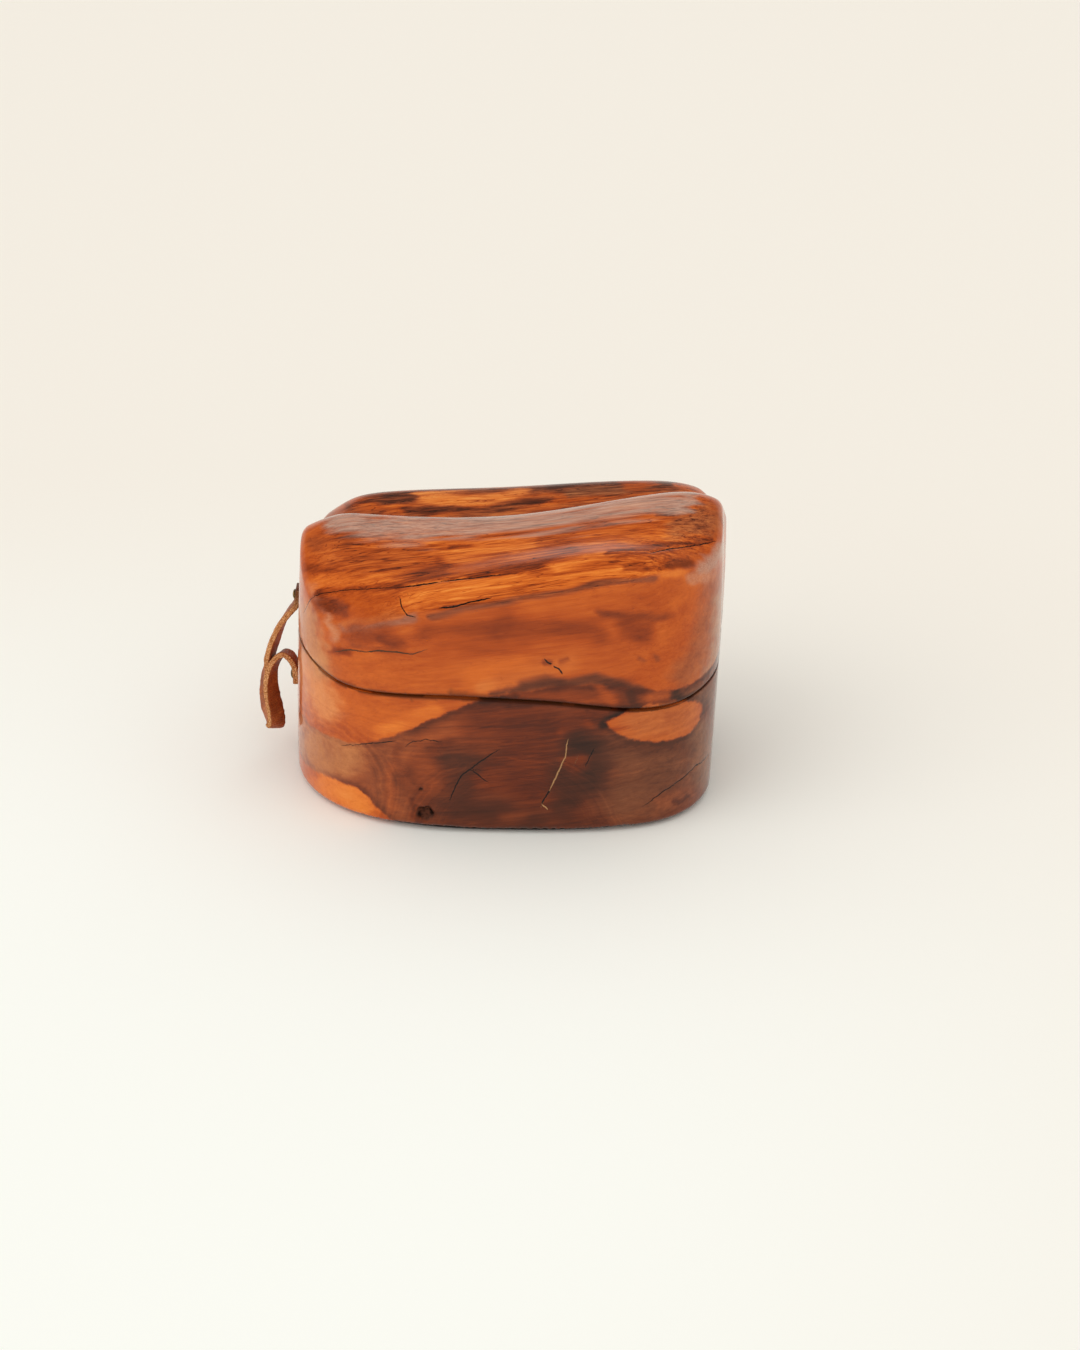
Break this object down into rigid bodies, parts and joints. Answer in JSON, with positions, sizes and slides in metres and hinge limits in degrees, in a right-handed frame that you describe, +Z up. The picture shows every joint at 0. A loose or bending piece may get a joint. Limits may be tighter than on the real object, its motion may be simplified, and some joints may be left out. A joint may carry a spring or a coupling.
{
  "type": "wooden jewel box",
  "caption": "Small carved wooden jewel box whose lid lifts off along a wavy saw cut, kept to the base by a leather thong.",
  "frame": {"origin": "under the middle of the wooden box, on the surface it stands on; the thong and its tacks aren't counted in the middle", "axes": "+Z up, the wide front face looks to -Y, the thong hangs on the -X side"},
  "size_m": [0.1678, 0.1144, 0.1071],
  "materials": {
    "varnished_wood": "gloss varnish over orange sapwood and dark heartwood",
    "peg_wood": "bare turned dowel",
    "thong_leather": "waxed face with raw cut edges",
    "tack_metal": "aged, dull",
    "foot_felt": "pressed wool felt",
    "lining_suede": "brushed suede"
  },
  "bodies": {
    "base": {"box_base": "varnished_wood", "left_peg": "peg_wood", "right_peg": "peg_wood", "foot_felt": "foot_felt", "suede_lining": "lining_suede", "lower_tack": "tack_metal", "leather_thong": "thong_leather"},
    "lid": {"box_lid": "varnished_wood", "upper_tack": "tack_metal"}
  },
  "joints": [
    {"name": "lid_lift", "type": "slide", "parent": "base", "child": "lid", "axis": [0, 0, 1], "range_m": [0, 0.045], "deforming": ["leather_thong"]}
  ]
}
